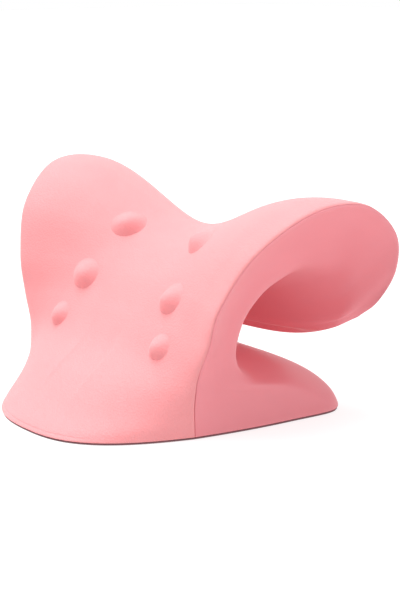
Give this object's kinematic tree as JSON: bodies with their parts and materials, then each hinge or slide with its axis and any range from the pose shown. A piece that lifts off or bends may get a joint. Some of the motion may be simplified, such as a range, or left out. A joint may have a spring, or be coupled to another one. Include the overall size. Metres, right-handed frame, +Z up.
{
  "type": "cervical traction device",
  "caption": "Moulded foam neck stretcher: flat-footed curved ramp with massage nodes rising to a winged head cradle that curls over an open C-shaped arch.",
  "frame": {"origin": "on the ground, under the middle of the bounding box", "axes": "+X to the right across the object, +Y from the shoulder ramp towards the head end, +Z up; the object is mirror-symmetric about the YZ plane"},
  "size_m": [0.248, 0.1858, 0.1347],
  "materials": {
    "foam": "smooth satin moulded foam",
    "contact_skin": "fine pebble grain",
    "massage_node": "fine pebble grain",
    "base_pad": "matt non-slip sheet"
  },
  "bodies": {
    "base": {"base_pad": "base_pad", "foot_core": "foam", "ramp_skin": "contact_skin", "node_low_left": "massage_node", "node_low_right": "massage_node"},
    "cradle": {"cradle_core": "foam", "cradle_skin": "contact_skin", "node_mid_left": "massage_node", "node_mid_right": "massage_node", "node_top_left": "massage_node", "node_top_right": "massage_node"}
  },
  "joints": [
    {"name": "cradle_flex", "type": "hinge", "parent": "base", "child": "cradle", "pos_m": [0, -0.008, 0.0573], "axis": [-1, 0, 0], "range_deg": [0, 8], "stiffness_Nm_per_rad": 18}
  ]
}
